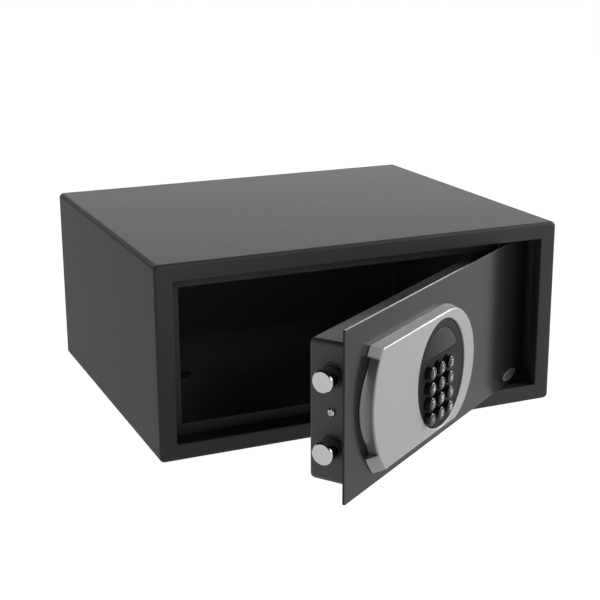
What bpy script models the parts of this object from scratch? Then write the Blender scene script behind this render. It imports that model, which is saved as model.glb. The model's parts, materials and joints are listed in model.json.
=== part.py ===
"""In-room hotel safe with a motor-driven door, shown with the door part way open.

Frame: +Z up, the front faces -Y, the origin is the centre of the floor's underside.
Lengths are written in millimetres and turned into metres when a mesh is made.
Door pieces hang on an empty at the hinge axis, so the whole door swings with it.
"""

from math import asin, cos, degrees, pi, radians, sin, sqrt, tan

import bmesh
import bpy
from mathutils import Matrix, Vector

MM = 0.001
GAP = 0.3                     # kept between pieces that touch

# ---- body -------------------------------------------------------------------
WIDTH, DEPTH, HEIGHT = 430.0, 355.0, 192.0
SHEET = 2.0                   # casing steel
CORNER_R = 5.0                # long edges of the wrap
FRONT_BEND = 3.0              # bend from the wrap into the front strips
STRIP_SIDE, STRIP_END = 17.5, 17.0
JAMB = 20.0                   # depth of the return round the doorway
HINGE_JAMB = 13.0             # shorter on the hinge side, where the plate swings in
LIP = 11.5                    # width of the stop lip behind the doorway
LIP_SHEET = 1.5
HINGE_ZONE = 160.0            # the lip stops here, short of the hinge
FRONT, BACK = -DEPTH / 2, DEPTH / 2
ANCHOR_HOLE = 12.0
ANCHOR_X = 120.0              # the fixing holes stand this far either side of the middle
ANCHOR_FLOOR_Y = 40.0
ANCHOR_REAR_DROP = 50.0       # below the top
MAT_HOLE = 22.0               # clears the head of a fixing bolt

# ---- door -------------------------------------------------------------------
PIVOT = (171.6, -138.9)       # hinge axis in plan
OPEN = 35.0                   # degrees from closed
PLATE_L, PLATE_H, PLATE_T = 388.0, 153.5, 2.0
PLATE_Z = 19.25               # lower edge
FREE_EDGE = -364.6            # free edge of the plate, measured from the axis
FACE = 22.1                   # outer face of the plate, in front of the axis
MID_Z = PLATE_Z + PLATE_H / 2

PAN_IN, PAN_OUT = 10.0, 12.0   # inset from the plate at the free end and at the hinge end
PAN_DEPTH, PAN_SHEET = 38.0, 1.5
PAN_LOW, PAN_HIGH = 31.4, 157.6
PAN_CORNER, PAN_BEND = 5.0, 4.0

# ---- hinges -----------------------------------------------------------------
TAB_HALF, TAB_SHEET = 13.0, 3.0
TAB_CLEAR = 2.6               # between the pan and the tab that carries the pin
BRACKET_WEB, BRACKET_FOOT = 24.5, 50.0
PIN_R, PIN_HEAD_R = 3.0, 5.5
BUSH_R, BUSH_FLANGE_R = 5.0, 7.5

# ---- lock -------------------------------------------------------------------
BOLT_D, BOLT_OUT, BOLT_TAIL = 20.0, 17.0, 33.0
BOLT_RISE = 31.75             # each bolt's height above or below the door's middle
BOLT_N = -18.0                # depth of the bolt axes behind the plate's face
MODULE, PINION_TEETH = 1.0, 16
PINION_S, RACK_Z = 78.0, 88.0
PINION_Z = RACK_Z + MODULE * PINION_TEETH / 2
BACKLASH = 0.35
PRESSURE = tan(radians(20.0)) # slope of a tooth's flank
TOOTH_TIP, TOOTH_ROOT = 0.85 * MODULE, 1.15 * MODULE
STUD_R = 2.5                  # the bolt's tail stud, held in the bolt bar
BUSH_BORE_R, BUSH_BODY_R, BUSH_RIM_R = BOLT_D / 2 + GAP, 11.1, 11.9
WIRE_HOLE, WIRE_HOLE_R, WIRE_R = (148.0, 64.0), 7.0, 1.8

# ---- keypad -----------------------------------------------------------------
FACE_N = 10.0                 # height of the housing over the plate
FACE_TOP, FACE_LOW = 145.5, 33.5
LEFT_ARC = (118.3, 93.3, 87.0)
RIGHT_ARC = (178.0, 88.0, 57.5)
SPREAD_LEFT, SPREAD = 7.2, 3.0
COVE_FOOT = (73.6, 94.2, 49.5)  # circle of the finger cove's edge at the plate
COVE_ENDS = (-30.0, 28.7)     # degrees on the left arc, from its level middle
COVE_LIP, COVE_DRAFT = 0.8, 0.4              # height of its edge over the plate; least run of its wall
OVAL = (164.5, 88.0, 49.0, 52.0)
PANEL_N = 8.7
BUTTON_D, BUTTON_TOP, BUTTON_FOOT = 12.0, 15.4, 4.6
BUTTON_COLUMNS = (136.8, 155.6, 174.4)
BUTTON_ROWS = (97.2, 82.5, 67.8, 53.1)
WINDOW_LOW = 107.2

# ---- battery ----------------------------------------------------------------
CELL_D, CELL_L, CELL_PITCH = 14.2, 50.0, 15.0
CELL_S, CELL_Y = 234.5, 4.0   # middle of the four cells
HATCH = (29.5, 25.5)          # half sizes of the opening in the pan's back
COVER = (34.0, 39.0)          # half sizes of the plate over it
SCREW_RISE = 34.0
SCREW_R = 1.5
BADGE_AT = (349.0, 29.0)


# ---- drawing helpers ----------------------------------------------------------
def arc(cu, cv, radius, start, stop, steps):
    """Points on a circle from start to stop, in degrees."""
    return [
        (cu + radius * cos(radians(a)), cv + radius * sin(radians(a)))
        for a in (start + (stop - start) * i / steps for i in range(steps + 1))
    ]


def rounded(u0, v0, u1, v1, radius, steps=5):
    """A rectangle with round corners, drawn anticlockwise from its right-hand top corner."""
    corners = (
        (u1 - radius, v1 - radius, 0),
        (u0 + radius, v1 - radius, 90),
        (u0 + radius, v0 + radius, 180),
        (u1 - radius, v0 + radius, 270),
    )
    return [p for u, v, a in corners for p in arc(u, v, radius, a, a + 90, steps)]


def ellipse(cu, cv, a, b, steps=48):
    return [(cu + a * cos(2 * pi * i / steps), cv + b * sin(2 * pi * i / steps)) for i in range(steps)]


def loft(rings, ends=True):
    """A closed solid through rings of equal length: capped at both ends, or joined end to start."""
    bm = bmesh.new()
    loops = [[bm.verts.new(p) for p in ring] for ring in rings]
    pairs = list(zip(loops, loops[1:])) + ([] if ends else [(loops[-1], loops[0])])
    for low, high in pairs:
        for i in range(len(low)):
            j = (i + 1) % len(low)
            bm.faces.new((low[i], low[j], high[j], high[i]))
    if ends:
        bm.faces.new(list(reversed(loops[0])))
        bm.faces.new(loops[-1])
    bmesh.ops.recalc_face_normals(bm, faces=bm.faces)
    return bm


def prism(outline, w0, w1):
    """The outline, drawn in u and v, pulled along w."""
    return loft([[(u, v, w) for u, v in outline] for w in (w0, w1)])


def turned(profile, steps=32):
    """A profile of (radius, w) turned about the w axis, solid from one end to the other."""
    return loft([
        [(r * cos(2 * pi * i / steps), r * sin(2 * pi * i / steps), w) for i in range(steps)]
        for r, w in profile
    ])


def ring_turned(profile, steps=32):
    """A closed profile of (radius, w) turned about the w axis, with a hole through it."""
    return loft([
        [(r * cos(2 * pi * i / steps), r * sin(2 * pi * i / steps), w) for i in range(steps)]
        for r, w in profile
    ], ends=False)


def block(low, high):
    (u0, v0, w0), (u1, v1, w1) = low, high
    return prism([(u0, v0), (u1, v0), (u1, v1), (u0, v1)], w0, w1)


# ---- frames of the door ---------------------------------------------------------
def on_face(s=0.0, z=0.0, n=0.0):
    """u along the plate from its free edge, v up, w out of the plate's face."""
    return Matrix(((1, 0, 0, s + FREE_EDGE), (0, 0, -1, -FACE - n), (0, 1, 0, z), (0, 0, 0, 1)))


def along_plate(s, y, z):
    """w runs along the plate towards the hinge."""
    return Matrix(((0, 0, 1, s + FREE_EDGE), (1, 0, 0, y), (0, 1, 0, z), (0, 0, 0, 1)))


def from_back(s, y, z):
    """w runs from the back of the door towards its face."""
    return Matrix(((1, 0, 0, s + FREE_EDGE), (0, 0, -1, y), (0, 1, 0, z), (0, 0, 0, 1)))


def up(x, y, z):
    return Matrix.Translation((x, y, z))


# ---- objects and materials ------------------------------------------------------
def material(name, colour, roughness, metallic=0.0):
    m = bpy.data.materials.new(name)
    m.use_nodes = True
    shader = m.node_tree.nodes["Principled BSDF"]
    shader.inputs["Base Color"].default_value = (*colour, 1.0)
    shader.inputs["Roughness"].default_value = roughness
    shader.inputs["Metallic"].default_value = metallic
    return m


def add(name, bm, look, parent=None, place=Matrix(), smooth=32.0):
    """Names the drawn shape, turns it into metres and puts it in its place."""
    bmesh.ops.scale(bm, vec=(MM, MM, MM), verts=bm.verts)
    mesh = bpy.data.meshes.new(name)
    bm.to_mesh(mesh)
    bm.free()
    mesh.shade_smooth()
    mesh.set_sharp_from_angle(angle=radians(smooth))
    obj = bpy.data.objects.new(name, mesh)
    bpy.context.scene.collection.objects.link(obj)
    if look:
        mesh.materials.append(look)
    obj.parent = parent
    place = place.copy()
    place.translation *= MM
    obj.matrix_local = place
    return obj


def combine(obj, bm, operation="DIFFERENCE", place=Matrix()):
    """Cuts the drawn shape out of obj, or joins it on."""
    tool = add(f"{obj.name}_{operation.lower()}", bm, None, obj.parent, place)
    tool.hide_render = True
    tool.display_type = "WIRE"
    step = obj.modifiers.new(tool.name, "BOOLEAN")
    step.operation = operation
    step.solver = "EXACT"
    step.object = tool


def drill(obj, radius, w0, w1, place, steps=24):
    """Cuts a round hole along the place's w axis."""
    combine(obj, turned([(radius, w0), (radius, w1)], steps), place=place)


def bevel(obj, width, segments=2, angle=40.0):
    step = obj.modifiers.new("edge", "BEVEL")
    step.width = width * MM
    step.segments = segments
    step.limit_method = "ANGLE"
    step.angle_limit = radians(angle)


# ---- body pieces ------------------------------------------------------------------
def body_ring(inset_x, inset_z, y, radius, hinge_y=None):
    """A rounded rectangle in the front view, with extra points where the hinge zone starts."""
    half = WIDTH / 2 - inset_x
    pts = rounded(-half, inset_z, half, HEIGHT - inset_z, radius)
    side = len(pts) // 4
    top, low = HEIGHT - inset_z, inset_z
    pts[3 * side:3 * side] = [(HINGE_ZONE, low), (HINGE_ZONE + 2, low)]
    pts[side:side] = [(HINGE_ZONE + 2, top), (HINGE_ZONE, top)]
    deep = y if hinge_y is None else hinge_y
    return [(x, deep if x > HINGE_ZONE + 1 else y, z) for x, z in pts]


def make_casing(look):
    rings = [body_ring(0, 0, BACK, CORNER_R), body_ring(0, 0, FRONT + FRONT_BEND, CORNER_R)]
    for a in (22.5, 45.0, 67.5, 90.0):
        inset = FRONT_BEND * (1 - cos(radians(a)))
        rings.append(body_ring(inset, inset, FRONT + FRONT_BEND * (1 - sin(radians(a))), CORNER_R - inset))
    inner_bend = 1.5
    for a in (0.0, 30.0, 60.0, 90.0):
        back = inner_bend * (1 - cos(radians(a)))
        inset = inner_bend * (1 - sin(radians(a)))
        rings.append(body_ring(STRIP_SIDE - inset, STRIP_END - inset, FRONT + back, 1.0))
    deep, shallow = FRONT + JAMB, FRONT + HINGE_JAMB
    rings.append(body_ring(STRIP_SIDE, STRIP_END, deep, 1.0, shallow))
    rings.append(body_ring(STRIP_SIDE - LIP_SHEET, STRIP_END - LIP_SHEET, deep, 1.0, shallow))
    rings.append(body_ring(STRIP_SIDE - LIP_SHEET, STRIP_END - LIP_SHEET, FRONT + SHEET, 1.0))
    rings.append(body_ring(SHEET, SHEET, FRONT + SHEET, CORNER_R - SHEET))
    rings.append(body_ring(SHEET, SHEET, BACK, CORNER_R - SHEET))
    casing = add("casing", loft(rings, ends=False), look)
    for x in (-ANCHOR_X, ANCHOR_X):
        drill(casing, ANCHOR_HOLE / 2, -1, SHEET + 1, up(x, ANCHOR_FLOOR_Y, 0))


def make_strike_frame(look):
    """The stop lip: a flat U behind the doorway, open on the hinge side."""
    out_x, out_z = WIDTH / 2 - STRIP_SIDE + LIP_SHEET, STRIP_END - LIP_SHEET
    in_x, in_z = WIDTH / 2 - STRIP_SIDE - LIP, STRIP_END + LIP
    end = HINGE_ZONE - 1
    outline = [
        (end, out_z), (end, in_z), (-in_x, in_z), (-in_x, HEIGHT - in_z), (end, HEIGHT - in_z),
        (end, HEIGHT - out_z), (-out_x, HEIGHT - out_z), (-out_x, out_z),
    ]
    place = Matrix(((1, 0, 0, 0), (0, 0, 1, FRONT + JAMB + GAP), (0, 1, 0, 0), (0, 0, 0, 1)))
    bevel(add("strike_frame", prism(outline, 0, LIP_SHEET), look, place=place), 0.4)


def make_rear_panel(look):
    edge = SHEET + GAP
    outline = rounded(-WIDTH / 2 + edge, edge, WIDTH / 2 - edge, HEIGHT - edge, CORNER_R - edge)
    place = Matrix(((1, 0, 0, 0), (0, 0, 1, BACK - SHEET), (0, 1, 0, 0), (0, 0, 0, 1)))
    panel = add("rear_panel", prism(outline, 0, SHEET), look, place=place)
    for x in (-ANCHOR_X, ANCHOR_X):
        drill(panel, ANCHOR_HOLE / 2, -1, SHEET + 1, place @ up(x, HEIGHT - ANCHOR_REAR_DROP, 0))


def make_floor_mat(look):
    """A loose mat on the floor, notched round the lower hinge bracket and open over the fixing holes."""
    thick, side, front, back = 3.0, 209.0, FRONT + 26, BACK - 5
    notch_x, notch_y = 148.0, -84.0
    outline = [(-side, front), (notch_x, front), (notch_x, notch_y)]
    outline += [(side, notch_y), (side, back), (-side, back)]
    mat = add("floor_mat", prism(outline, 0, thick), look, place=up(0, 0, SHEET + GAP))
    for x in (-ANCHOR_X, ANCHOR_X):
        drill(mat, MAT_HOLE / 2, -1, SHEET + thick + 1, up(x, ANCHOR_FLOOR_Y, 0))
    bevel(mat, 0.5)


def make_hinge(side, look, pin_look, bush_look, door):
    """Bracket and pin on the body, flanged bush in the door pan. side is 1 at the top, -1 at the bottom."""
    name = "top" if side > 0 else "bottom"
    edge = PAN_HIGH if side > 0 else PAN_LOW        # outside of the pan
    wall = HEIGHT - SHEET - GAP if side > 0 else SHEET + GAP
    tab = edge + side * TAB_CLEAR                   # face of the tab nearest the pan
    rise = (wall - tab) * side
    web, out = BRACKET_WEB, BRACKET_WEB + TAB_SHEET
    profile = [(-TAB_HALF, 0), (out, 0), (out, rise - TAB_SHEET), (BRACKET_FOOT, rise - TAB_SHEET),
               (BRACKET_FOOT, rise), (web, rise), (web, TAB_SHEET), (-TAB_HALF, TAB_SHEET)]
    flip = Matrix(((0, 0, side, PIVOT[0]), (1, 0, 0, PIVOT[1]), (0, side, 0, tab), (0, 0, 0, 1)))
    at_pin = up(PIVOT[0], PIVOT[1], tab)
    bracket = add(f"hinge_bracket_{name}", prism(profile, -TAB_HALF, TAB_HALF), look, place=flip)
    wide = TAB_HALF + 7
    outside = [(-wide, 0), (-wide, -wide), (wide, -wide), (wide, 0)]
    nose = prism(outside + arc(0, 0, TAB_HALF - 0.2, 0, -180, 12), -1, TAB_SHEET + 1)
    combine(bracket, mirrored(nose, side), place=at_pin)
    drill(bracket, PIN_R + GAP, -TAB_SHEET - 1, TAB_SHEET + 1, at_pin)
    seat = TAB_SHEET + GAP
    pin = turned([(PIN_R, -9.5), (PIN_R, seat), (PIN_HEAD_R, seat), (PIN_HEAD_R, seat + 1.7),
                  (PIN_HEAD_R - 0.7, seat + 2.3)], 24)
    add(f"hinge_pin_{name}", mirrored(pin, side), pin_look, place=at_pin)
    rim = TAB_CLEAR - GAP
    bore = PIN_R + 0.35
    flange = ring_turned([(bore, GAP), (bore, 7.0), (BUSH_R, 7.0), (BUSH_R, rim), (BUSH_FLANGE_R, rim),
                          (BUSH_FLANGE_R, GAP)], 24)
    add(f"hinge_bush_{name}", mirrored(flange, -side), bush_look, door, up(0, 0, tab))


def mirrored(bm, side):
    """Turns the shape over when side is -1."""
    if side < 0:
        bmesh.ops.scale(bm, vec=(1, 1, -1), verts=bm.verts)
        bmesh.ops.reverse_faces(bm, faces=bm.faces)
    return bm


# ---- door pieces --------------------------------------------------------------------
def make_door_plate(look, door):
    plate = add("door_plate", prism(rounded(0, 0, PLATE_L, PLATE_H, 1.5, 3), -PLATE_T, 0), look, door,
                on_face(0, PLATE_Z, 0))
    drill(plate, WIRE_HOLE_R, -PLATE_T - 1, 1, on_face(*WIRE_HOLE))


def make_door_pan(look, door):
    """The tray behind the plate that holds the lock, open towards the plate."""
    low, high = (PAN_IN, PAN_LOW), (PLATE_L - PAN_OUT, PAN_HIGH)
    rim = -PLATE_T - GAP
    back = rim - PAN_DEPTH

    def ring(inset, n):
        radius = max(PAN_CORNER - inset, 1.0)
        outline = rounded(low[0] + inset, low[1] + inset, high[0] - inset, high[1] - inset, radius, 4)
        return [(u, v, n) for u, v in outline]

    def bend(skin, turn):
        """The ring part of the way round the back's bend, on the outside or the inside of the sheet."""
        radius = PAN_BEND - skin
        inset, rise = radius * (1 - cos(radians(turn))), radius * (1 - sin(radians(turn)))
        return ring(skin + inset, back + skin + rise)

    rings = [bend(0.0, turn) for turn in (90, 60, 30, 0)] + [ring(0, rim), ring(PAN_SHEET, rim)]
    rings += [bend(PAN_SHEET, turn) for turn in (0, 30, 60, 90)]
    pan = add("door_pan", loft(rings), look, door, on_face())
    axis_y = -FACE - BOLT_N
    for z in (MID_Z - BOLT_RISE, MID_Z + BOLT_RISE):
        drill(pan, BUSH_BODY_R + GAP, -2, 4, along_plate(PAN_IN, axis_y, z), 32)
    drill(pan, 2.3, -2, 4, along_plate(PAN_IN, axis_y, MID_Z), 16)
    for z in (PAN_LOW, PAN_HIGH):
        drill(pan, BUSH_R + GAP, -4, 4, up(0, 0, z))
    combine(pan, block((-HATCH[0], -HATCH[1], -4), (*HATCH, 4)), place=from_back(CELL_S, back_y(), MID_Z))
    for z in (MID_Z - SCREW_RISE, MID_Z + SCREW_RISE):
        drill(pan, SCREW_R + GAP, -4, 4, from_back(CELL_S, back_y(), z), 16)


def back_y():
    """The outside of the pan's back, in the door's own y."""
    return -FACE + PLATE_T + GAP + PAN_DEPTH


def make_bolts(steel, bush_look, door):
    y = -FACE - BOLT_N
    for name, z in (("upper", MID_Z + BOLT_RISE), ("lower", MID_Z - BOLT_RISE)):
        r = BOLT_D / 2
        shape = turned([(r - 2.2, -BOLT_OUT), (r - 1.9, -BOLT_OUT), (r, 2.0 - BOLT_OUT), (r, BOLT_TAIL),
                        (STUD_R, BOLT_TAIL), (STUD_R, BOLT_TAIL + 9)], 32)
        add(f"bolt_{name}", shape, steel, door, along_plate(PAN_IN, y, z))
        shape = ring_turned([(BUSH_BORE_R, -1.2), (BUSH_BORE_R, 12), (BUSH_BODY_R, 12), (BUSH_BODY_R, -GAP),
                             (BUSH_RIM_R, -GAP), (BUSH_RIM_R, -1.2)], 32)
        add(f"bolt_bush_{name}", shape, bush_look, door, along_plate(PAN_IN, y, z))


def make_guide_plate(look, door):
    """An angle behind the bolts: one leg guides their tails, the other is fixed to the pan's back."""
    inside = back_y() - PAN_SHEET - GAP
    near, sheet, foot = 30.0, 2.0, 42.0
    profile = [(near, -16), (near + sheet, -16), (near + sheet, inside - sheet), (foot, inside - sheet),
               (foot, inside), (near, inside)]
    place = Matrix(((1, 0, 0, FREE_EDGE), (0, 1, 0, 0), (0, 0, 1, MID_Z), (0, 0, 0, 1)))
    guide = add("bolt_guide_plate", prism(profile, -50, 50), look, door, place)
    for z in (MID_Z - BOLT_RISE, MID_Z + BOLT_RISE):
        drill(guide, BOLT_D / 2 + 0.35, -6, 6, along_plate(near + 1, -FACE - BOLT_N, z), 32)


def gear_outline():
    """A spur gear with straight-sided teeth of the pressure angle's slope."""
    pitch_r = PINION_TEETH * MODULE / 2
    tip, root = pitch_r + TOOTH_TIP, pitch_r - TOOTH_ROOT
    half = (pi * MODULE / 2 - BACKLASH) / 2
    pts = []
    for t in range(PINION_TEETH):
        centre = 2 * pi * t / PINION_TEETH
        for r, side in ((root, -1), (tip, -1), (tip, 1), (root, 1)):
            width = half - (r - pitch_r) * PRESSURE * (1.0 if r > pitch_r else 0.75)
            a = centre + side * width / r
            pts.append((r * cos(a), r * sin(a)))
    return pts


def make_bolt_bar(steel, door):
    """The bar that joins the two bolts, with the rack that the pinion drives."""
    pitch = pi * MODULE
    half = (pitch / 2 - BACKLASH) / 2
    foot, crown = RACK_Z - TOOTH_ROOT, RACK_Z + TOOTH_TIP
    wide, thin = half + TOOTH_ROOT * PRESSURE, half - TOOTH_TIP * PRESSURE
    teeth = []
    for i in range(-7, 2):
        centre = PINION_S + (i + 0.5) * pitch
        teeth += [(centre - wide, foot), (centre - thin, crown)]
        teeth += [(centre + thin, crown), (centre + wide, foot)]
    near = PAN_IN + BOLT_TAIL + GAP
    far, end, under = near + 5, teeth[-1][0] + 1, RACK_Z - 8
    low, high = MID_Z - BOLT_RISE - 10, MID_Z + BOLT_RISE + 10
    outline = [(near, low), (far, low), (far, under), (end, under), (end, foot)]
    outline += list(reversed(teeth)) + [(far, foot), (far, high), (near, high)]
    bar = add("bolt_bar", prism(outline, -3.5, 3.5), steel, door, on_face(0, 0, BOLT_N))
    for z in (MID_Z - BOLT_RISE, MID_Z + BOLT_RISE):
        drill(bar, STUD_R + GAP, -3, 9, along_plate(near, -FACE - BOLT_N, z), 20)


def make_motor(steel, plastic, door):
    """The gear motor behind the rack and the pinion on its shaft."""
    y = -FACE - BOLT_N
    at_shaft = from_back(PINION_S, y, PINION_Z)
    pinion = add("drive_pinion", prism(gear_outline(), -3, 3), steel, door, at_shaft)
    combine(pinion, turned([(2.0, -9.5), (2.0, 0)], 20), "UNION", at_shaft)

    gearbox_y = y + 3 + 1.5
    at_gearbox = from_back(PINION_S, gearbox_y, PINION_Z)
    motor = add("gear_motor", block((-11, -10, -11.5), (17, 10, 0)), plastic, door, at_gearbox)
    can = turned([(6, 0), (6, 26), (2.5, 26), (2.5, 29)], 28)
    combine(motor, can, "UNION", along_plate(PINION_S + 16, gearbox_y + 6, PINION_Z))
    drill(motor, 2.4, -6.5, 1, at_gearbox, 20)


def make_wire(look, door):
    """The lead from the keypad board, through the plate, to the motor's end."""
    s, z = WIRE_HOLE
    stops = [(s, z, 0.4), (s, z, -6), (s - 1, z + 4, -11), (s - 6, z + 18, -18), (s - 14, z + 29, -26),
             (PINION_S + 45.4, PINION_Z, -28.5)]
    pts = [Vector((s + FREE_EDGE, -FACE - n, z)) * MM for s, z, n in stops]
    curve = bpy.data.curves.new("wire_lead", "CURVE")
    curve.dimensions = "3D"
    steps = 4
    smooth = []
    padded = [pts[0] * 2 - pts[1]] + pts + [pts[-1] * 2 - pts[-2]]
    for a, b, c, d in zip(padded, padded[1:], padded[2:], padded[3:]):
        for i in range(steps):
            t = i / steps
            smooth.append(0.5 * ((2 * b) + (c - a) * t + (2 * a - 5 * b + 4 * c - d) * t * t
                                 + (3 * b - a - 3 * c + d) * t ** 3))
    smooth.append(pts[-1])
    line = curve.splines.new("POLY")
    line.points.add(len(smooth) - 1)
    for point, place in zip(line.points, smooth):
        point.co = (*place, 1.0)
    curve.bevel_depth = WIRE_R * MM
    curve.bevel_resolution = 2
    curve.use_fill_caps = True
    obj = bpy.data.objects.new("wire_lead", curve)
    curve.materials.append(look)
    bpy.context.scene.collection.objects.link(obj)
    obj.parent = door


def make_battery(tray_look, cell_look, pan_look, steel, door):
    half_s, half_z = CELL_PITCH * 2 + 1.2, CELL_L / 2 + 1.2
    wall = 1.5
    top = back_y() - PAN_SHEET - GAP - CELL_Y        # towards the pan's back
    place = from_back(CELL_S, CELL_Y, MID_Z)
    outside = block((-half_s - wall, -half_z - wall, -top), (half_s + wall, half_z + wall, 9))
    tray = add("battery_holder", outside, tray_look, door, place)
    combine(tray, block((-half_s, -half_z, -top - 2), (half_s, half_z, 9 - wall)), place=place)
    r = CELL_D / 2
    for i in range(4):
        cell = turned([(r - 0.6, -CELL_L / 2), (r, 0.6 - CELL_L / 2), (r, CELL_L / 2 - 1.8),
                       (r - 0.6, CELL_L / 2 - 1.2), (2.8, CELL_L / 2 - 1.2), (2.6, CELL_L / 2)], 20)
        turn = Matrix.Rotation(0.0 if i % 2 else pi, 4, "X")
        place = up(CELL_S + (i - 1.5) * CELL_PITCH + FREE_EDGE, CELL_Y, MID_Z) @ turn
        add(f"battery_{i + 1}", cell, cell_look, door, place)
    lid = prism(rounded(-COVER[0], -COVER[1], *COVER, 3, 4), -GAP - 1.8, -GAP)
    cover = add("battery_cover", lid, pan_look, door, from_back(CELL_S, back_y(), MID_Z))
    for side, z in (("upper", SCREW_RISE), ("lower", -SCREW_RISE)):
        place = from_back(CELL_S, back_y(), MID_Z + z)
        drill(cover, SCREW_R + GAP, -4, 1, place, 16)
        screw = turned([(1.9, -4.0), (3.0, -3.3), (3.0, -2.4), (SCREW_R, -2.4), (SCREW_R, 6.0)], 20)
        add(f"cover_screw_{side}", screw, steel, door, place)


def make_side_screw(look, door):
    """A pan-head screw with a cross recess, between the bolts."""
    y = -FACE - BOLT_N
    head = turned([(1.6, -2.6), (2.9, -2.2), (3.7, -1.2), (3.75, -GAP), (1.9, -GAP), (1.9, 14)], 20)
    screw = add("side_screw", head, look, door, along_plate(PAN_IN, y, MID_Z))
    for u, v in ((2.2, 0.45), (0.45, 2.2)):
        combine(screw, block((-u, -v, -4), (u, v, -1.3)), place=along_plate(PAN_IN, y, MID_Z))


# ---- keypad pieces --------------------------------------------------------------------
def housing_ring(left, rest, n):
    """The housing's outline grown by left at its free end and by rest elsewhere."""
    lu, lv, lr = LEFT_ARC
    ru, rv, rr = RIGHT_ARC
    lr, rr = lr + left, rr + rest
    top, low = FACE_TOP + rest, FACE_LOW - rest
    up_angle = 180 - degrees(asin((top - lv) / lr))
    down_angle = 180 + degrees(asin((lv - low) / lr))
    end_angle = degrees(asin((low - rv) / rr))
    pts = arc(lu, lv, lr, up_angle, down_angle, 24)
    pts += arc(ru, rv, rr, end_angle, 90, 24)
    return [(u, v, n) for u, v in pts]


def cove_section(angle):
    """The cove's cutter across the left arc: upright at the face, out to the foot circle at the plate."""
    lu, lv, lr = LEFT_ARC
    fu, fv, fr = COVE_FOOT
    du, dv = cos(radians(angle)), sin(radians(angle))
    middle = du * (fu - lu) + dv * (fv - lv)
    reach = middle + sqrt(fr ** 2 - (fu - lu) ** 2 - (fv - lv) ** 2 + middle ** 2)
    run = max(reach - lr, COVE_DRAFT)
    rise = FACE_N - COVE_LIP
    outside = lr + 3 * SPREAD_LEFT
    profile = [(outside, FACE_N + 2), (lr, FACE_N + 2)]
    for t in (0.0, 22.5, 45.0, 67.5, 90.0):
        profile.append((lr + run * (1 - cos(radians(t))), FACE_N - rise * sin(radians(t))))
    profile += [(lr + run, -2.0), (outside, -2.0)]
    return [(lu + r * du, lv + r * dv, n) for r, n in profile]


def make_housing(look, door):
    soft = 1.0
    rings = [housing_ring(SPREAD_LEFT, SPREAD, GAP)]
    rings.append(housing_ring(SPREAD_LEFT * 0.1, SPREAD * 0.1, FACE_N - soft))
    for a in (30.0, 60.0, 90.0):
        inset = soft * (1 - cos(radians(a)))
        rings.append(housing_ring(-inset, -inset, FACE_N - soft * (1 - sin(radians(a)))))
    housing = add("keypad_housing", loft(rings), look, door, on_face())

    hollow = [housing_ring(-6.0, -1.8, n) for n in (-1.0, FACE_N - 2.3)]
    combine(housing, loft(hollow), place=on_face())
    cu, cv, a, b = OVAL
    opening = [[(u, v, n) for u, v in ellipse(cu, cv, a + grow, b + grow)]
               for grow, n in ((0, 4.0), (0, FACE_N - 0.8), (0.8, FACE_N), (0.8, FACE_N + 1))]
    combine(housing, loft(opening), place=on_face())

    # finger cove: hollow along the free end, between two solid tabs
    start, stop = COVE_ENDS
    sections = [cove_section(180 + start + (stop - start) * i / 24) for i in range(25)]
    combine(housing, loft(sections), place=on_face())


def window_outline(shrink):
    """The upper part of an ellipse inside the oval, cut off straight at the bottom."""
    cu, cv, a, b = OVAL
    a, b, low = a - 9.5 - shrink, b - 8.5 - shrink, WINDOW_LOW + shrink
    start = degrees(asin((low - cv) / b))
    return [(cu + a * cos(radians(t)), cv + b * sin(radians(t)))
            for t in (start + (180 - 2 * start) * i / 32 for i in range(33))]


def make_keypad_panel(panel_look, window_look, door):
    cu, cv, a, b = OVAL
    edge = -GAP
    steps = ((2.2, 0.3, 6.0), (2.2, 0.3, 7.3), (edge, edge, 7.3), (edge, edge, PANEL_N - 0.3),
             (edge - 0.3, edge - 0.3, PANEL_N))
    rings = [[(u, v, n) for u, v in ellipse(cu, cv, a + wide, b + high)] for wide, high, n in steps]
    panel = add("keypad_panel", loft(rings), panel_look, door, on_face())
    combine(panel, prism(window_outline(0), 5, 10), place=on_face())
    for s in BUTTON_COLUMNS:
        for z in BUTTON_ROWS:
            drill(panel, BUTTON_D / 2 + 0.4, 4, 10, on_face(s, z), 16)
    add("display_window", prism(window_outline(0.3), 6.6, PANEL_N - 0.05), window_look, door, on_face())


def make_electronics(board_look, display_look, door):
    cu, cv, a, b = OVAL
    add("circuit_board", prism(ellipse(cu, cv, a - 5, b - 5, 40), 0.8, 2.4), board_look, door, on_face())
    add("display_module", block((-24, -8, 2.7), (24, 8, 5.7)), display_look, door, on_face(cu, 118, 0))


def make_buttons(look, door):
    """The keys 1 to 9 by rows, then star, 0 and hash, each with a rim that holds it behind the panel."""
    names = ("1", "2", "3", "4", "5", "6", "7", "8", "9", "star", "0", "hash")
    spots = [(s, z) for z in BUTTON_ROWS for s in BUTTON_COLUMNS]
    r, high = BUTTON_D / 2, BUTTON_TOP - BUTTON_FOOT
    rim = r + 0.8
    profile = [(rim, 0), (rim, 1.0), (r, 1.0), (r, high - 2.2), (r - 0.8, high - 0.8), (r - 2.8, high)]
    for name, (s, z) in zip(names, spots):
        add(f"button_{name}", turned(profile, 16), look, door, on_face(s, z, BUTTON_FOOT))


def make_badge(look, door):
    rings = [[(u, v, n) for u, v in ellipse(0, 0, 16.5 - drop, 5.6 - drop, 32)]
             for drop, n in ((0, GAP), (0, 1.0), (0.5, 1.4))]
    badge = add("oval_badge", loft(rings), look, door, on_face(*BADGE_AT, 0))
    inlay = [[(u, v, n) for u, v in ellipse(0, 0, 14.4, 3.9, 32)] for n in (1.1, 3)]
    combine(badge, loft(inlay), place=on_face(*BADGE_AT, 0))


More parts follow.
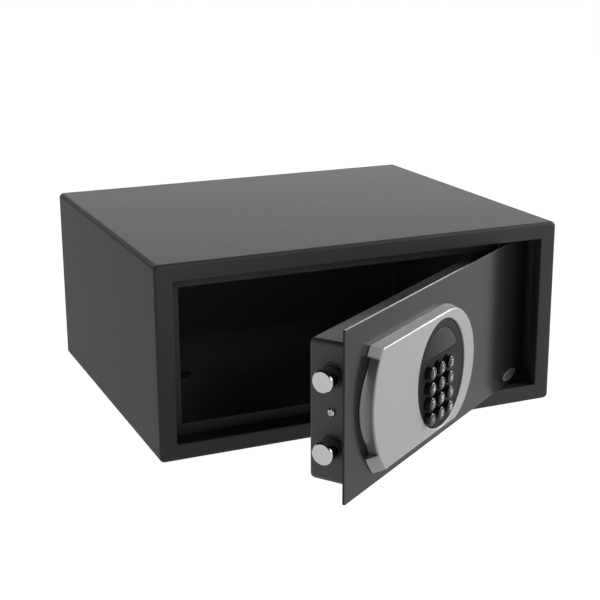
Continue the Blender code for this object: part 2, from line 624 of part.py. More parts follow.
# ---- the whole safe ---------------------------------------------------------------------
def main():
    for obj in list(bpy.data.objects):
        bpy.data.objects.remove(obj)

    coat = material("charcoal_powder_coat", (0.085, 0.082, 0.086), 0.55)
    pan_coat = material("pan_powder_coat", (0.07, 0.07, 0.072), 0.55)
    chrome = material("bolt_chrome", (0.75, 0.75, 0.76), 0.12, 1.0)
    zinc = material("zinc_steel", (0.55, 0.56, 0.58), 0.35, 1.0)
    silver = material("silver_plastic", (0.43, 0.42, 0.45), 0.35)
    panel = material("keypad_black", (0.07, 0.06, 0.07), 0.3)
    window = material("display_lens", (0.06, 0.055, 0.06), 0.08)
    gloss = material("button_black", (0.01, 0.01, 0.011), 0.12)
    black = material("black_plastic", (0.02, 0.02, 0.02), 0.45)
    board = material("board_green", (0.02, 0.12, 0.05), 0.5)
    cell = material("battery_sleeve", (0.03, 0.03, 0.035), 0.35)
    felt = material("mat_felt", (0.03, 0.03, 0.032), 0.95)

    door = bpy.data.objects.new("door_axis", None)
    bpy.context.scene.collection.objects.link(door)
    door.location = (PIVOT[0] * MM, PIVOT[1] * MM, 0)
    door.rotation_euler = (0, 0, radians(OPEN))

    make_casing(coat)
    make_strike_frame(coat)
    make_rear_panel(coat)
    make_floor_mat(felt)
    for side in (1, -1):
        make_hinge(side, zinc, chrome, black, door)

    make_door_plate(coat, door)
    make_door_pan(pan_coat, door)
    make_bolts(chrome, zinc, door)
    make_guide_plate(zinc, door)
    make_bolt_bar(zinc, door)
    make_motor(zinc, black, door)
    make_wire(black, door)
    make_battery(black, cell, pan_coat, zinc, door)
    make_side_screw(chrome, door)
    make_housing(silver, door)
    make_keypad_panel(panel, window, door)
    make_electronics(board, black, door)
    make_buttons(gloss, door)
    make_badge(pan_coat, door)


main()
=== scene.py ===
"""Looks of the in-room hotel safe: finer meshes, materials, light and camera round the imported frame."""

import json
from math import asin, atan2, cos, degrees, hypot, pi, radians, sin, sqrt

import bmesh
import bpy
from mathutils import Matrix, Vector


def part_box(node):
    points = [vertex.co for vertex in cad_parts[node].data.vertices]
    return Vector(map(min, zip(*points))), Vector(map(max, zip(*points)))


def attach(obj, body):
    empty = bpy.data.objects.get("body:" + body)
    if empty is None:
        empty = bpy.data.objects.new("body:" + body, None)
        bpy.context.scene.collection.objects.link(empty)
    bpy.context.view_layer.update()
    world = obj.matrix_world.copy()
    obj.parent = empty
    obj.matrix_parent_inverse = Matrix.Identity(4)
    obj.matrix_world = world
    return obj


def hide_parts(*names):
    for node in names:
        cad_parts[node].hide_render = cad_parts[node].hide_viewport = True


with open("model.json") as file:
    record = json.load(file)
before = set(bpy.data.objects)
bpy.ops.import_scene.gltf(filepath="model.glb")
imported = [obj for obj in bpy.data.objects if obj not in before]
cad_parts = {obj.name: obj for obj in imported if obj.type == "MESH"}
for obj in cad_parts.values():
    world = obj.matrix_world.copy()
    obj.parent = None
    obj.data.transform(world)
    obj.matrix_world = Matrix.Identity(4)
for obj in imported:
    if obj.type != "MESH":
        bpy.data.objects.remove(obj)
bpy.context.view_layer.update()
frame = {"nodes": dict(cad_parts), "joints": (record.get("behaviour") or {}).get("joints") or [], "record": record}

MM = 0.001
NODES = frame["nodes"]
JOINTS = {joint["name"]: joint for joint in frame["joints"]}
UP = Vector((0, 0, 1))

# ---- the door's own frame, from the joints -----------------------------------------
ALONG = Vector(JOINTS["bolt_slide"]["axis"]).normalized()      # along the plate, towards the hinge
OUT = -Vector(JOINTS["press_5"]["axis"]).normalized()          # out of the plate's face


def spread(node, axis):
    """Lowest and highest place of a CAD node's vertices along an axis, in metres."""
    places = [axis.dot(v.co) for v in NODES[node].data.vertices]
    return min(places), max(places)


FREE_EDGE = spread("door_plate", ALONG)[0]
FACE = spread("door_plate", OUT)[1]


def on_face(s=0.0, z=0.0, n=0.0):
    """u along the plate from its free edge, v up, w out of its face: millimetres to the frame's metres."""
    origin = ALONG * (FREE_EDGE + s * MM) + OUT * (FACE + n * MM) + UP * (z * MM)
    axes = Matrix((ALONG * MM, UP * MM, OUT * MM)).transposed().to_4x4()
    return Matrix.Translation(origin) @ axes


def along_plate(s, n, z):
    """u out of the face, v up, w along the plate towards the hinge."""
    origin = ALONG * (FREE_EDGE + s * MM) + OUT * (FACE + n * MM) + UP * (z * MM)
    axes = Matrix((-OUT * MM, UP * MM, ALONG * MM)).transposed().to_4x4()
    return Matrix.Translation(origin) @ axes


def in_door(node):
    """A CAD node's box in the door's frame, in millimetres: (s, z, n) lowest and highest."""
    s, n = spread(node, ALONG), spread(node, OUT)
    z = spread(node, UP)
    low = ((s[0] - FREE_EDGE) / MM, z[0] / MM, (n[0] - FACE) / MM)
    high = ((s[1] - FREE_EDGE) / MM, z[1] / MM, (n[1] - FACE) / MM)
    return low, high


# ---- camera --------------------------------------------------------------------------
CAMERA_PLACE = (-0.5469, -1.2697, 0.4930)
CAMERA_TURN = (-23.39, 15.84, -0.31)       # azimuth, height above the horizon, roll, in degrees
CAMERA_LENS = 78.45
CAMERA_SHIFT = (0.0047, -0.0203)


def make_camera():
    azimuth, height, roll = (radians(a) for a in CAMERA_TURN)
    back = Vector((sin(azimuth) * cos(height), -cos(azimuth) * cos(height), sin(height)))
    right = (-back).cross(UP).normalized()
    top = right.cross(-back)
    level = Matrix((right, top, back)).transposed()
    data = bpy.data.cameras.new("camera")
    data.lens = CAMERA_LENS
    data.shift_x, data.shift_y = CAMERA_SHIFT
    camera = bpy.data.objects.new("camera", data)
    turn = (level @ Matrix.Rotation(roll, 3, "Z")).to_4x4()
    camera.matrix_world = Matrix.Translation(CAMERA_PLACE) @ turn
    bpy.context.scene.collection.objects.link(camera)
    bpy.context.scene.camera = camera


# ---- mesh helpers --------------------------------------------------------------------
def arc(cu, cv, radius, start, stop, steps):
    return [
        (cu + radius * cos(radians(a)), cv + radius * sin(radians(a)))
        for a in (start + (stop - start) * i / steps for i in range(steps + 1))
    ]


def ellipse(cu, cv, a, b, steps=144):
    return [(cu + a * cos(2 * pi * i / steps), cv + b * sin(2 * pi * i / steps)) for i in range(steps)]


def loft(rings, ends=True):
    """A closed solid through rings of equal length: capped at both ends, or joined end to start."""
    bm = bmesh.new()
    loops = [[bm.verts.new(p) for p in ring] for ring in rings]
    pairs = list(zip(loops, loops[1:])) + ([] if ends else [(loops[-1], loops[0])])
    for low, high in pairs:
        for i in range(len(low)):
            j = (i + 1) % len(low)
            bm.faces.new((low[i], low[j], high[j], high[i]))
    if ends:
        bm.faces.new(list(reversed(loops[0])))
        bm.faces.new(loops[-1])
    bmesh.ops.recalc_face_normals(bm, faces=bm.faces)
    return bm


def turned(profile, steps=48, ends=True):
    """A profile of (radius, w) turned about the w axis."""
    return loft([
        [(r * cos(2 * pi * i / steps), r * sin(2 * pi * i / steps), w) for i in range(steps)]
        for r, w in profile
    ], ends)


def prism(outline, w0, w1):
    return loft([[(u, v, w) for u, v in outline] for w in (w0, w1)])


def make_object(name, bm, place, look=None):
    """Puts a mesh drawn in a local frame into the row frame, with its object at the origin."""
    bmesh.ops.transform(bm, matrix=place, verts=bm.verts)
    if place.to_3x3().determinant() < 0:
        bmesh.ops.reverse_faces(bm, faces=bm.faces)
    mesh = bpy.data.meshes.new(name)
    bm.to_mesh(mesh)
    bm.free()
    obj = bpy.data.objects.new(name, mesh)
    bpy.context.scene.collection.objects.link(obj)
    if look:
        mesh.materials.append(look)
    return obj


def cut(obj, bm, place):
    """Takes the drawn shape out of obj for good."""
    tool = make_object(obj.name + "_cutter", bm, place)
    step = obj.modifiers.new("cut", "BOOLEAN")
    step.object = tool
    step.solver = "EXACT"
    settle(obj)
    bpy.data.objects.remove(tool)


def joined(parts):
    """One mesh of several drawn shapes that don't meet, each moved by (u, v)."""
    whole = bmesh.new()
    for bm, u, v in parts:
        bmesh.ops.translate(bm, vec=(u, v, 0), verts=bm.verts)
        mesh = bpy.data.meshes.new("part")
        bm.to_mesh(mesh)
        bm.free()
        whole.from_mesh(mesh)
        bpy.data.meshes.remove(mesh)
    return whole


def settle(obj):
    """Applies the modifiers of obj to its mesh."""
    graph = bpy.context.evaluated_depsgraph_get()
    mesh = bpy.data.meshes.new_from_object(obj.evaluated_get(graph))
    obj.modifiers.clear()
    obj.data = mesh


def round_edges(obj, width, segments=3, angle=32.0):
    """A small round on every sharp edge, in millimetres, with smooth shading over it."""
    step = obj.modifiers.new("round", "BEVEL")
    step.width = width * MM
    step.segments = segments
    step.limit_method = "ANGLE"
    step.angle_limit = radians(angle)
    smooth(obj)


def smooth(obj, angle=34.0):
    obj.data.shade_smooth()
    obj.data.set_sharp_from_angle(angle=radians(angle))


def finish_piece(obj, body, slot, *replaced):
    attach(obj, body)
    if replaced:
        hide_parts(*replaced)
    return obj


# ---- material helpers ------------------------------------------------------------------
class Look:
    """A Principled material with short calls for the textures that drive it."""

    def __init__(self, name, colour, roughness, metallic=0.0, **sockets):
        self.material = bpy.data.materials.new(name)
        self.material.use_nodes = True
        self.tree = self.material.node_tree
        self.shader = self.tree.nodes["Principled BSDF"]
        self.shader.inputs["Base Color"].default_value = (*colour, 1.0)
        self.shader.inputs["Roughness"].default_value = roughness
        self.shader.inputs["Metallic"].default_value = metallic
        for socket, value in sockets.items():
            self.shader.inputs[socket.replace("_", " ")].default_value = value
        self.colour = colour
        self.coords = self.tree.nodes.new("ShaderNodeTexCoord").outputs["Object"]
        self.height = None

    def node(self, kind, **settings):
        made = self.tree.nodes.new(kind)
        for key, value in settings.items():
            setattr(made, key, value)
        return made

    def link(self, a, b):
        self.tree.links.new(a, b)

    def stretched(self, scale):
        """Object coordinates scaled apart along x, y and z."""
        mapping = self.node("ShaderNodeMapping")
        mapping.inputs["Scale"].default_value = scale
        self.link(self.coords, mapping.inputs["Vector"])
        return mapping.outputs["Vector"]

    def noise(self, size_mm, detail=2.0, rough=0.5, coords=None):
        """Noise from 0 to 1 whose blotches are about size_mm across."""
        made = self.node("ShaderNodeTexNoise")
        made.inputs["Scale"].default_value = 1.0 / (size_mm * MM)
        made.inputs["Detail"].default_value = detail
        made.inputs["Roughness"].default_value = rough
        self.link(coords or self.coords, made.inputs["Vector"])
        return made.outputs["Fac"]

    def cells(self, size_mm, feature="F1"):
        made = self.node("ShaderNodeTexVoronoi", feature=feature)
        made.inputs["Scale"].default_value = 1.0 / (size_mm * MM)
        self.link(self.coords, made.inputs["Vector"])
        return made.outputs["Distance"]

    def ramp(self, value, stops):
        """Maps a value through (position, grey or colour) stops."""
        made = self.node("ShaderNodeValToRGB")
        points = made.color_ramp.elements
        while len(points) < len(stops):
            points.new(1.0)
        for point, (position, shade) in zip(points, stops):
            point.position = position
            point.color = (*shade, 1.0) if isinstance(shade, tuple) else (shade, shade, shade, 1.0)
        self.link(value, made.inputs["Fac"])
        return made.outputs["Color"]

    def mottle(self, value, low, high, stops=(0.3, 0.7)):
        """Base colour moves between low and high times itself."""
        shades = [tuple(c * k for c in self.colour) for k in (low, high)]
        self.link(self.ramp(value, list(zip(stops, shades))), self.shader.inputs["Base Color"])

    def vary(self, socket, value, low, high, stops=(0.3, 0.7)):
        """A shader number moves between low and high."""
        self.link(self.ramp(value, list(zip(stops, (low, high)))), self.shader.inputs[socket])

    def bump(self, value, depth_mm, strength=1.0):
        """Adds relief of the given depth over whatever relief there is."""
        made = self.node("ShaderNodeBump")
        made.inputs["Distance"].default_value = depth_mm * MM
        made.inputs["Strength"].default_value = strength
        self.link(value, made.inputs["Height"])
        if self.height:
            self.link(self.height, made.inputs["Normal"])
        self.height = made.outputs["Normal"]
        self.link(self.height, self.shader.inputs["Normal"])


def powder_coat(name, colour, roughness, grain, relief, gloss, speck=0.2):
    """Charcoal powder coat: fine pebbled relief with pale and dark specks."""
    look = Look(name, colour, roughness, Specular_IOR_Level=gloss)
    look.mottle(look.noise(0.5 * grain, 2.0, 0.7), 1 - speck, 1 + 1.2 * speck, (0.35, 0.68))
    look.vary("Roughness", look.noise(4.0, 3.0), roughness - 0.02, roughness + 0.03)
    look.bump(look.noise(grain, 3.0, 0.6), relief, 0.55)
    return look.material


def inside_painted_light(name, colour):
    """A lighter copy of the coat for the inside of the body: painted light, lifting the inside that the lamps
    leave near black.
    """
    look = Look(name, colour, 0.62)
    look.mottle(look.noise(1.2, 3.0, 0.6), 0.8, 1.2)
    look.bump(look.noise(0.9, 2.0, 0.6), 0.08, 0.5)
    return look.material


def chrome(name, roughness=0.10):
    """Polished chrome with faint turning marks and a few rub marks."""
    look = Look(name, (0.47, 0.46, 0.47), roughness, 1.0)
    look.vary("Roughness", look.noise(3.0, 4.0, 0.7), roughness - 0.04, roughness + 0.07)
    look.bump(look.noise(0.35, 2.0, coords=look.stretched((1.0, 1.0, 0.15))), 0.004, 0.4)
    return look.material


def zinc(name):
    """Bright zinc-plated steel with a faint grain and cloudy passivation."""
    look = Look(name, (0.52, 0.53, 0.55), 0.34, 1.0)
    look.mottle(look.noise(7.0, 4.0, 0.6), 0.86, 1.1)
    look.vary("Roughness", look.noise(1.0, 3.0, coords=look.stretched((0.12, 1.0, 1.0))), 0.26, 0.44)
    look.bump(look.noise(0.25, 2.0, coords=look.stretched((0.08, 1.0, 1.0))), 0.01, 0.5)
    return look.material


def silver_paint(name, colour):
    """Satin silver paint on moulded plastic: fine metal flake under an even sheen."""
    look = Look(name, colour, 0.42, 0.4)
    look.mottle(look.noise(0.16, 1.0, 0.5), 0.93, 1.07, (0.38, 0.62))
    look.vary("Roughness", look.noise(14.0, 3.0), 0.39, 0.45)
    look.bump(look.noise(0.30, 2.0, 0.6), 0.012, 0.35)
    return look.material


def moulded(name, colour, roughness, grain=0.35, depth=0.02, coat=0.0, gloss=0.5):
    """Moulded plastic: a spark-eroded grain, slight flow marks and varying gloss."""
    look = Look(name, colour, roughness, Coat_Weight=coat, Coat_Roughness=0.08, Specular_IOR_Level=gloss)
    look.mottle(look.noise(11.0, 3.0, 0.55), 0.9, 1.12)
    look.vary("Roughness", look.noise(5.0, 4.0, 0.6), roughness - 0.03, roughness + 0.06)
    look.bump(look.noise(grain, 2.0, 0.6), depth, 0.45)
    return look.material


def lens(name):
    """Dark tinted polycarbonate with a hard glossy skin."""
    look = Look(name, (0.014, 0.012, 0.014), 0.34, Specular_IOR_Level=0.1)
    look.mottle(look.noise(26.0, 2.0), 0.92, 1.08)
    look.vary("Roughness", look.noise(4.0, 4.0, 0.65), 0.32, 0.40)
    look.bump(look.noise(18.0, 1.0), 0.02, 0.3)
    return look.material


def printed(name, colour):
    """Screen-printed ink with slightly uneven cover."""
    look = Look(name, colour, 0.42)
    look.mottle(look.noise(0.25, 3.0, 0.7), 0.82, 1.05)
    look.bump(look.noise(0.2, 2.0), 0.01, 0.4)
    return look.material


def felt(name, colour):
    """Needle felt: matted fibres, lighter lint and a soft sheen."""
    look = Look(name, colour, 0.95, Sheen_Weight=0.3, Sheen_Roughness=0.5)
    fibres = look.noise(0.6, 4.0, 0.75, look.stretched((1.0, 0.25, 1.0)))
    crossed = look.noise(0.6, 4.0, 0.75, look.stretched((0.25, 1.0, 1.0)))
    both = look.node("ShaderNodeMath", operation="MAXIMUM")
    look.link(fibres, both.inputs[0])
    look.link(crossed, both.inputs[1])
    look.mottle(both.outputs[0], 0.45, 1.9, (0.42, 0.72))
    look.bump(look.noise(16.0, 2.0), 0.5, 0.35)
    look.bump(both.outputs[0], 0.35, 0.9)
    return look.material


def rubber(name):
    look = Look(name, (0.018, 0.018, 0.019), 0.6)
    look.mottle(look.noise(2.0, 3.0), 0.8, 1.25)
    look.bump(look.noise(0.2, 2.0), 0.01, 0.5)
    return look.material


def circuit(name):
    """Green solder mask with broad copper tracks showing through."""
    look = Look(name, (0.012, 0.085, 0.03), 0.35)
    look.mottle(look.cells(2.6), 0.7, 1.5, (0.2, 0.35))
    look.bump(look.cells(2.6), 0.03, 0.4)
    return look.material


def sleeve(name):
    """A battery's shrink sleeve: dark, with broad blotches of lighter and darker tone."""
    look = Look(name, (0.03, 0.03, 0.035), 0.28, Coat_Weight=0.5, Coat_Roughness=0.1)
    look.mottle(look.noise(9.0, 2.0), 0.85, 1.3)
    look.bump(look.noise(1.5, 2.0), 0.01, 0.4)
    return look.material


def make_looks():
    return {
        "casing_coat": powder_coat("casing_coat", (0.0215, 0.0207, 0.0218), 0.56, 1.3, 0.22, 0.17, 0.4),
        # the inside faces take a lighter copy of the casing coat: painted light
        "inside": inside_painted_light("casing_inside_painted_light", (0.075, 0.075, 0.077)),
        "door_coat": powder_coat("door_coat", (0.008, 0.0078, 0.008), 0.19, 0.8, 0.002, 0.19, 0.05),
        "pan_coat": powder_coat("pan_coat", (0.042, 0.042, 0.043), 0.50, 0.7, 0.05, 0.30, 0.1),
        "bolt_chrome": chrome("bolt_chrome"),
        "zinc_steel": zinc("zinc_steel"),
        "pin_steel": zinc("pin_steel"),
        "bush_plastic": moulded("bush_plastic", (0.018, 0.018, 0.018), 0.26),
        "silver_plastic": silver_paint("silver_plastic", (0.205, 0.202, 0.210)),
        # the cove takes a darker copy of the housing's silver: painted shade of its undercut wall
        "cove": silver_paint("cove_painted_shade", (0.135, 0.134, 0.137)),
        "keypad_plastic": moulded("keypad_plastic", (0.009, 0.008, 0.0088), 0.6, 0.3, 0.01, 0.0, 0.08),
        "display_lens": lens("display_lens"),
        "button_plastic": moulded("button_plastic", (0.006, 0.006, 0.007), 0.24, 0.6, 0.004, 0.0, 0.3),
        "print": printed("digit_print", (0.34, 0.34, 0.33)),
        "black_plastic": moulded("black_plastic", (0.02, 0.02, 0.021), 0.45),
        "board": circuit("board"),
        "battery_sleeve": sleeve("battery_sleeve"),
        "mat_felt": felt("mat_felt", (0.035, 0.035, 0.038)),
        "badge_metal": powder_coat("badge_metal", (0.045, 0.045, 0.047), 0.42, 0.5, 0.03, 0.3),
        "badge_field": moulded("badge_field", (0.018, 0.018, 0.019), 0.45),
        "wire_rubber": rubber("wire_rubber"),
    }


# ---- CAD nodes that stay -----------------------------------------------------------------
ROUNDS = {                     # edge rounds in millimetres, on folded and cut sheet
    "door_plate": 0.7, "strike_frame": 0.3, "rear_panel": 0.4, "battery_cover": 0.4,
    "hinge_bracket_top": 0.35, "hinge_bracket_bottom": 0.35, "bolt_guide_plate": 0.25,
    "bolt_bar": 0.25, "gear_motor": 0.5, "battery_holder": 0.4, "display_module": 0.4,
    "circuit_board": 0.2,
}


def keep_flats(obj):
    """Large faces keep their own shading: the rounds beside them don't bleed into it."""
    flat = obj.modifiers.new("flat", "WEIGHTED_NORMAL")
    flat.weight = 100
    flat.keep_sharp = True


def weld_and_round(obj, width):
    """The nodes come with every triangle apart: they are joined before the edges can be rounded or shaded."""
    if "custom_normal" in obj.data.attributes:
        obj.data.attributes.remove(obj.data.attributes["custom_normal"])
    obj.data.shade_smooth()
    weld = obj.modifiers.new("weld", "WELD")
    weld.merge_threshold = 0.001 * MM
    if width:
        step = obj.modifiers.new("round", "BEVEL")
        step.width = width * MM
        step.segments = 3
        step.limit_method = "ANGLE"
        step.angle_limit = radians(32.0)
    split = obj.modifiers.new("shade", "EDGE_SPLIT")
    split.split_angle = radians(34.0)
    keep_flats(obj)


def dress_nodes(looks):
    slots = {part["node"]: part["material_slot"] for part in frame["record"]["subparts"]}
    for name, obj in NODES.items():
        obj.data.materials.clear()
        obj.data.materials.append(looks[slots[name]])
        weld_and_round(obj, ROUNDS.get(name))
    paint_inside_light(NODES["casing"], looks["inside"])
    paint_inside_light(NODES["rear_panel"], looks["inside"])


def paint_inside_light(obj, look):
    """Faces that look into the body take the lighter inside coat: painted light for the light that reaches in."""
    low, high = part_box("casing")
    skin, jamb_end = 2.5 * MM, low[1] + 20.5 * MM
    obj.data.materials.append(look)
    for face in obj.data.polygons:
        x, y, z = face.center
        inside = low[0] + skin > x or x > high[0] - skin or low[2] + skin > z or z > high[2] - skin
        looks_in = (
            (low[0] + 1.0 * MM < x < high[0] - 1.0 * MM)
            and (low[2] + 1.0 * MM < z < high[2] - 1.0 * MM)
            and y < high[1] - 1.0 * MM
        )
        if looks_in and (y > jamb_end or (inside and face.normal.y > -0.5)):
            face.material_index = len(obj.data.materials) - 1


# ---- keypad ---------------------------------------------------------------------------------
LEFT_ARC = (118.3, 93.3, 87.0)             # centre and radius of the free end of the housing
RIGHT_ARC = (178.0, 88.0, 57.5)
FACE_TOP, FACE_LOW = 145.5, 33.5
OVAL = (164.5, 88.0, 49.0, 52.0)           # centre and half sizes of the keypad
SPREAD_LEFT, SPREAD = 7.2, 3.0             # how far the housing grows towards the plate
COVE_FOOT = (73.6, 94.2, 49.5)             # circle of the finger cove's edge at the plate
COVE_ENDS = (-30.0, 28.7)                  # degrees on the left arc, from its level middle
COVE_LIP, COVE_DRAFT = 0.8, 0.4            # height of its edge over the plate; least run of its wall
COVE_ROUND = 2.0                           # round between its wall and the face
GAP = 0.3


def housing_ring(left, rest, n, steps=72):
    """The housing's outline grown by left at its free end and by rest elsewhere."""
    lu, lv, lr = LEFT_ARC
    ru, rv, rr = RIGHT_ARC
    lr, rr = lr + left, rr + rest
    top, low = FACE_TOP + rest, FACE_LOW - rest
    up_angle = 180 - degrees(asin((top - lv) / lr))
    down_angle = 180 + degrees(asin((lv - low) / lr))
    end_angle = degrees(asin((low - rv) / rr))
    pts = arc(lu, lv, lr, up_angle, down_angle, steps)
    pts += arc(ru, rv, rr, end_angle, 90, steps)
    return [(u, v, n) for u, v in pts]


def cove_section(angle, face):
    """The cove's cutter across the left arc: upright at the face, out to the foot circle at the plate."""
    lu, lv, lr = LEFT_ARC
    fu, fv, fr = COVE_FOOT
    du, dv = cos(radians(angle)), sin(radians(angle))
    middle = du * (fu - lu) + dv * (fv - lv)
    reach = middle + sqrt(fr ** 2 - (fu - lu) ** 2 - (fv - lv) ** 2 + middle ** 2)
    run = max(reach - lr, COVE_DRAFT)
    wall_top = face - COVE_ROUND
    rise = wall_top - COVE_LIP
    outside = lr + 3 * SPREAD_LEFT
    rounds = [(lr - COVE_ROUND * (1 - sin(radians(t))), wall_top + COVE_ROUND * cos(radians(t)))
              for t in (15, 30, 45, 60, 75)]
    profile = [(outside, face + 2), (rounds[0][0], face + 2)] + rounds
    for t in range(0, 91, 9):
        profile.append((lr + run * (1 - cos(radians(t))), wall_top - rise * sin(radians(t))))
    profile += [(lr + run, -2.0), (outside, -2.0)]
    return [(lu + r * du, lv + r * dv, n) for r, n in profile]


def make_housing(looks):
    """The silver housing: sloped skirt, soft rim, oval opening and a finger cove at its free end."""
    high = in_door("keypad_housing")[1][2]
    soft, lip = 1.0, 0.5
    rings = [housing_ring(SPREAD_LEFT, SPREAD, GAP), housing_ring(SPREAD_LEFT, SPREAD, GAP + lip)]
    rings.append(housing_ring(SPREAD_LEFT * 0.1, SPREAD * 0.1, high - soft))
    for a in (18.0, 36.0, 54.0, 72.0, 90.0):
        inset = soft * (1 - cos(radians(a)))
        rings.append(housing_ring(-inset, -inset, high - soft * (1 - sin(radians(a)))))
    housing = make_object("housing_shell", loft(rings), on_face(), looks["silver_plastic"])

    hollow = [housing_ring(-6.0, -1.8, n) for n in (-1.0, high - 2.3)]
    cut(housing, loft(hollow), on_face())
    cu, cv, a, b = OVAL
    rim = [(0.0, 4.0), (0.0, high - 1.0)]
    rim += [(1.0 - cos(radians(t)), high - 1.0 + sin(radians(t))) for t in (22.5, 45.0, 67.5)]
    rim += [(1.0, high), (1.0, high + 1.0)]
    cut(housing, loft([[(u, v, n) for u, v in ellipse(cu, cv, a + g, b + g)] for g, n in rim]), on_face())

    start, stop = COVE_ENDS
    sections = [cove_section(180 + start + (stop - start) * i / 48, high) for i in range(49)]
    cut(housing, loft(sections), on_face())
    paint_cove_shade(housing, high, looks["cove"])
    round_edges(housing, 0.45, 3, 30.0)
    keep_flats(housing)
    return finish_piece(housing, "door", "silver_plastic", "keypad_housing")


def paint_cove_shade(housing, face, look):
    """The cove's own faces take a darker copy of the silver: painted shade, standing in for the shade in its
    undercut.
    """
    lu, lv, lr = LEFT_ARC
    start, stop = COVE_ENDS
    housing.data.materials.append(look)
    for polygon in housing.data.polygons:
        middle = polygon.center
        u = (ALONG.dot(middle) - FREE_EDGE) / MM - lu
        v = middle.z / MM - lv
        n = (OUT.dot(middle) - FACE) / MM
        turn = degrees(atan2(-v, -u))
        outside = hypot(u, v) > lr - COVE_ROUND / 2
        if start - 0.5 < turn < stop + 0.5 and outside and n < face - COVE_ROUND / 2:
            polygon.material_index = len(housing.data.materials) - 1


WINDOW_IN = (9.5, 8.5)                     # how far the display window stands inside the oval
WINDOW_LOW = 107.2


def window_outline(shrink, steps=72):
    """The upper part of an ellipse inside the oval, cut off straight at the bottom."""
    cu, cv, a, b = OVAL
    a, b, low = a - WINDOW_IN[0] - shrink, b - WINDOW_IN[1] - shrink, WINDOW_LOW + shrink
    start = degrees(asin((low - cv) / b))
    return [(cu + a * cos(radians(t)), cv + b * sin(radians(t)))
            for t in (start + (180 - 2 * start) * i / steps for i in range(steps + 1))]


def key_places():
    """Each key's name with its middle in the door's frame and the height of its top."""
    places = {}
    for node in NODES:
        if node.startswith("button_"):
            low, high = in_door(node)
            places[node[7:]] = ((low[0] + high[0]) / 2, (low[1] + high[1]) / 2, high[2])
    return places


def make_panel(looks):
    """The dark oval panel with a recess for the display and a well for each key."""
    low, high = in_door("keypad_panel")
    top = high[2]
    cu, cv, a, b = OVAL
    steps = ((2.2, 0.3, low[2]), (2.2, 0.3, low[2] + 1.3), (-GAP, -GAP, low[2] + 1.3),
             (-GAP, -GAP, top - 0.5),
             (-GAP - 0.15, -GAP - 0.15, top - 0.15), (-GAP - 0.5, -GAP - 0.5, top))
    rings = [[(u, v, n) for u, v in ellipse(cu, cv, a + wide, b + tall)] for wide, tall, n in steps]
    panel = make_object("panel_face", loft(rings), on_face(), looks["keypad_plastic"])
    cut(panel, prism(window_outline(0), low[2] - 1, top + 1), on_face())
    well = [(6.4, low[2] - 1), (6.4, top - 0.35), (6.75, top), (6.75, top + 1)]
    cut(panel, joined([(turned(well, 48), s, z) for s, z, _ in key_places().values()]), on_face())
    round_edges(panel, 0.22, 2, 40.0)
    finish_piece(panel, "door", "keypad_plastic", "keypad_panel")

    edge = 0.35
    crown = [(0.3, -2.0), (0.3, -edge - 0.15), (0.3 + edge * 0.3, -0.25), (0.3 + edge, -0.12)]
    rings = [[(u, v, top + n) for u, v in window_outline(shrink)] for shrink, n in crown]
    window = make_object("window_lens", loft(rings), on_face(), looks["display_lens"])
    smooth(window, 50.0)
    return finish_piece(window, "door", "display_lens", "display_window")


KEY_R = 6.0
DIGIT_HIGH = 6.2


def make_key(name, place, looks):
    """A glossy key cap with a crowned top, a soft shoulder and its printed sign."""
    s, z, top = place
    foot = in_door(f"button_{name}")[0][2]
    shoulder = 1.3
    profile = [(KEY_R + 0.8, foot), (KEY_R + 0.8, foot + 1.0), (KEY_R, foot + 1.0),
               (KEY_R, top - 0.35 - shoulder)]
    for i in range(1, 7):
        t = pi / 2 * i / 6
        r = KEY_R - shoulder * (1 - cos(t))
        profile.append((r, top - 0.35 - shoulder * (1 - sin(t))))
    edge_r = profile[-1][0]
    for r in (4.2, 3.4, 2.4, 1.3, 0.3):
        profile.append((r, top - 0.35 * (r / edge_r) ** 2))
    cap = make_object(f"key_cap_{name}", turned(profile, 48), on_face(s, z), looks["button_plastic"])
    smooth(cap, 60.0)
    finish_piece(cap, f"key_{name}", "button_plastic", f"button_{name}")

    sign = {"star": "*", "hash": "#"}.get(name, name)
    font = bpy.data.curves.new("sign", "FONT")
    font.body = sign
    font.size = DIGIT_HIGH / 0.7
    font.align_x = "CENTER"
    font.align_y = "CENTER"
    text = bpy.data.objects.new("sign", font)
    bpy.context.scene.collection.objects.link(text)
    graph = bpy.context.evaluated_depsgraph_get()
    mesh = bpy.data.meshes.new_from_object(text.evaluated_get(graph))
    bpy.data.objects.remove(text)
    bm = bmesh.new()
    bm.from_mesh(mesh)
    bmesh.ops.remove_doubles(bm, verts=bm.verts, dist=0.002)
    bmesh.ops.triangulate(bm, faces=bm.faces)
    us, vs = [v.co.x for v in bm.verts], [v.co.y for v in bm.verts]
    mid_u, mid_v = (min(us) + max(us)) / 2, (min(vs) + max(vs)) / 2
    tall = max(vs) - min(vs)
    size = (DIGIT_HIGH if sign != "*" else DIGIT_HIGH * 0.55) / tall
    for vert in bm.verts:
        vert.co.x = (vert.co.x - mid_u) * size
        vert.co.y = (vert.co.y - mid_v) * size
    for _ in range(2):
        long_edges = [e for e in bm.edges if e.calc_length() > 0.8]
        if long_edges:
            bmesh.ops.subdivide_edges(bm, edges=long_edges, cuts=1)
            bmesh.ops.triangulate(bm, faces=bm.faces)
    bmesh.ops.dissolve_degenerate(bm, dist=0.01, edges=bm.edges)
    for vert in bm.verts:
        r = hypot(vert.co.x, vert.co.y)
        vert.co.z = top - 0.35 * (r / edge_r) ** 2 + 0.04
    extruded = bmesh.ops.extrude_face_region(bm, geom=list(bm.faces))["geom"]
    for vert in (g for g in extruded if isinstance(g, bmesh.types.BMVert)):
        vert.co.z -= 0.12
    bmesh.ops.recalc_face_normals(bm, faces=bm.faces)
    sign_obj = make_object(f"sign_{name}", bm, on_face(s, z), looks["print"])
    finish_piece(sign_obj, f"key_{name}", "button_plastic")


